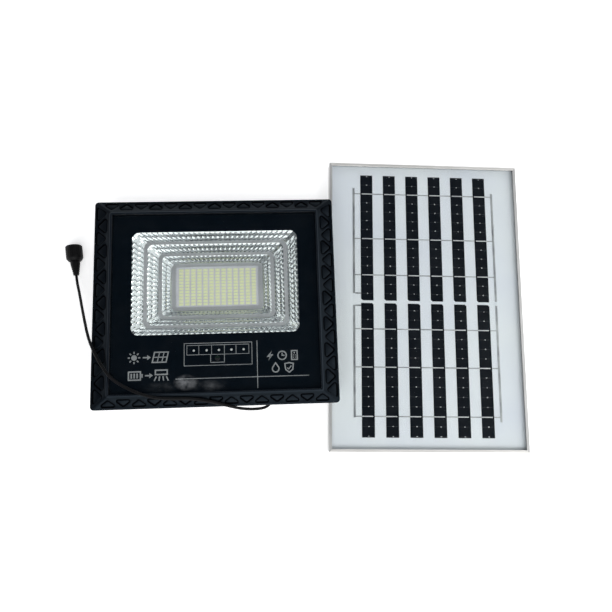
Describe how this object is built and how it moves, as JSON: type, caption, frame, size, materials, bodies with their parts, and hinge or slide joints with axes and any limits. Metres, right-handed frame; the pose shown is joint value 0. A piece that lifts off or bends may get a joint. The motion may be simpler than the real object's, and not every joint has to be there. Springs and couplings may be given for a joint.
{
  "type": "solar flood light",
  "caption": "Black flood light with a stepped mirror reflector and rows of LEDs behind glass, a swivel bracket, a lead with a screw connector and a separate framed solar panel.",
  "frame": {"origin": "centre of the rest pad on the back of the lamp, on the table plane", "axes": "+X across the lamp towards the panel, +Y towards the top edge of the lamp, +Z out of its glass"},
  "size_m": [0.5556, 0.3605, 0.0562],
  "materials": {
    "bezel_plastic": "fine moulded texture",
    "housing_coat": "powder coated",
    "lamp_glass": "clear polished",
    "mask_print": "screen print behind glass",
    "mirror_coat": "vacuum metallised",
    "led_laminate": "white solder mask",
    "led_phosphor": "satin silicone",
    "sink_aluminium": "milled",
    "fastener_steel": "zinc plated",
    "rubber_black": "matte",
    "control_laminate": "solder mask",
    "component_black": "moulded epoxy",
    "indicator_lens": "clear epoxy",
    "battery_sleeve": "shrink sleeve",
    "holder_plastic": "moulded",
    "nickel_strip": "rolled",
    "wire_red": "soft sleeve",
    "brass": "turned",
    "bracket_coat": "powder coated",
    "gland_nylon": "moulded",
    "lead_sheath": "smooth sheath",
    "connector_plastic": "moulded",
    "pin_metal": "plated",
    "frame_aluminium": "anodised",
    "solar_glass": "low iron",
    "cell_silicon": "coated silicon",
    "ribbon_tin": "tinned",
    "backsheet_white": "laminate",
    "junction_plastic": "moulded"
  },
  "bodies": {
    "lamp": {"front_bezel": "bezel_plastic", "glass_lens": "lamp_glass", "glass_gasket": "rubber_black", "printed_mask": "mask_print", "reflector": "mirror_coat", "reflector_screws": "fastener_steel", "led_board": "led_laminate", "led_chips": "led_phosphor", "heat_sink_plate": "sink_aluminium", "heat_sink_screws": "fastener_steel", "controller_board": "control_laminate", "controller_screws": "fastener_steel", "controller_components": "component_black", "indicator_leds": "indicator_lens", "remote_receiver": "component_black", "battery_cells": "battery_sleeve", "battery_holder": "holder_plastic", "battery_tabs": "nickel_strip", "battery_leads": "wire_red", "led_leads": "wire_red", "rear_housing": "housing_coat", "housing_seal": "rubber_black", "housing_screws": "fastener_steel", "pivot_bolts": "fastener_steel", "pivot_washers": "fastener_steel", "pivot_inserts": "brass", "gland_body": "gland_nylon", "gland_nut": "gland_nylon", "gland_locknut": "gland_nylon", "gland_bush": "rubber_black", "vent_plug": "gland_nylon", "lead": "lead_sheath", "lead_inner": "lead_sheath", "connector_body": "connector_plastic", "connector_insert": "connector_plastic", "connector_pins": "pin_metal", "connector_seal": "rubber_black"},
    "bracket": {"bracket": "bracket_coat"},
    "connector_collar": {"connector_nut": "connector_plastic"},
    "panel": {"panel_rail_left": "frame_aluminium", "panel_rail_right": "frame_aluminium", "panel_rail_top": "frame_aluminium", "panel_rail_bottom": "frame_aluminium", "panel_corner_keys": "sink_aluminium", "panel_glass": "solar_glass", "panel_edge_seal": "rubber_black", "panel_backsheet": "backsheet_white", "solar_cells": "cell_silicon", "cell_ribbons": "ribbon_tin", "junction_box": "junction_plastic", "junction_lid": "junction_plastic", "junction_screws": "fastener_steel", "junction_inlet": "junction_plastic", "junction_terminals": "brass", "blocking_diode": "component_black"}
  },
  "joints": [
    {"name": "bracket_tilt", "type": "hinge", "parent": "lamp", "child": "bracket", "pos_m": [0, 0, 0.016], "axis": [-1, 0, 0], "range_deg": [0, 150]},
    {"name": "connector_nut_spin", "type": "hinge", "parent": "lamp", "child": "connector_collar", "pos_m": [-0.1672, 0.0412, 0.0098], "axis": [-0.1179, 0.993, 0], "continuous": true},
    {"name": "panel_slide", "type": "slide", "parent": "lamp", "child": "panel", "axis": [1, 0, 0], "range_m": [0, 0.2]}
  ]
}
